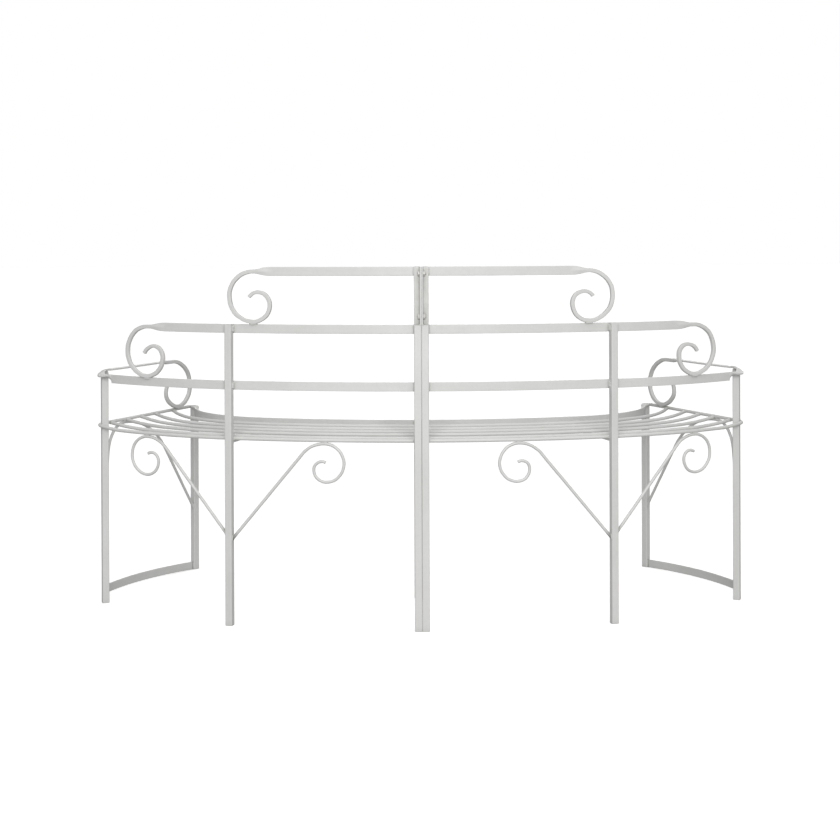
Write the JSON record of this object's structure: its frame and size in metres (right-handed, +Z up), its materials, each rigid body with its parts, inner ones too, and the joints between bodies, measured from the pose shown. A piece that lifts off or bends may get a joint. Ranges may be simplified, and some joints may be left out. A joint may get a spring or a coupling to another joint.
{
  "type": "curved metal garden bench",
  "caption": "Curved metal garden bench in two bolted halves, with a scrolled flat-bar back, rolled arms and a seat of round rods, on square tube legs.",
  "frame": {"origin": "on the floor, under the middle of the overall box", "axes": "+Z up; +X along the bench, to the right seen from behind the back; +Y towards the side the sitter faces"},
  "size_m": [1.5174, 0.6664, 0.7925],
  "materials": {
    "painted_frame": "satin off-white paint over steel",
    "fastener_steel": "dull plated steel"
  },
  "bodies": {
    "root": {"centre_back_post_left": "painted_frame", "centre_back_post_right": "painted_frame", "centre_front_leg_left": "painted_frame", "centre_front_leg_right": "painted_frame", "centre_seat_bearer_left": "painted_frame", "centre_seat_bearer_right": "painted_frame", "centre_upper_angle_left": "painted_frame", "centre_upper_angle_right": "painted_frame", "end_arch_brace_back_left": "painted_frame", "end_arch_brace_back_right": "painted_frame", "end_arch_brace_front_left": "painted_frame", "end_arch_brace_front_right": "painted_frame", "end_back_post_left": "painted_frame", "end_back_post_right": "painted_frame", "end_front_leg_left": "painted_frame", "end_front_leg_right": "painted_frame", "end_stretcher_left": "painted_frame", "end_stretcher_right": "painted_frame", "front_seat_rail_left": "painted_frame", "front_seat_rail_right": "painted_frame", "inner_scroll_brace_left": "painted_frame", "inner_scroll_brace_right": "painted_frame", "joining_bolts": "fastener_steel", "joining_nuts": "fastener_steel", "lower_back_rail_armrest_left": "painted_frame", "lower_back_rail_armrest_right": "painted_frame", "mid_back_post_left": "painted_frame", "mid_back_post_right": "painted_frame", "mid_seat_bearer_left": "painted_frame", "mid_seat_bearer_right": "painted_frame", "middle_back_rail_left": "painted_frame", "middle_back_rail_right": "painted_frame", "outer_scroll_brace_left": "painted_frame", "outer_scroll_brace_right": "painted_frame", "seat_rim_rod_left": "painted_frame", "seat_rim_rod_right": "painted_frame", "seat_slat_1_left": "painted_frame", "seat_slat_1_right": "painted_frame", "seat_slat_2_left": "painted_frame", "seat_slat_2_right": "painted_frame", "seat_slat_3_left": "painted_frame", "seat_slat_3_right": "painted_frame", "seat_slat_4_left": "painted_frame", "seat_slat_4_right": "painted_frame", "seat_slat_5_left": "painted_frame", "seat_slat_5_right": "painted_frame", "top_back_rail_left": "painted_frame", "top_back_rail_right": "painted_frame"}
  },
  "joints": []
}
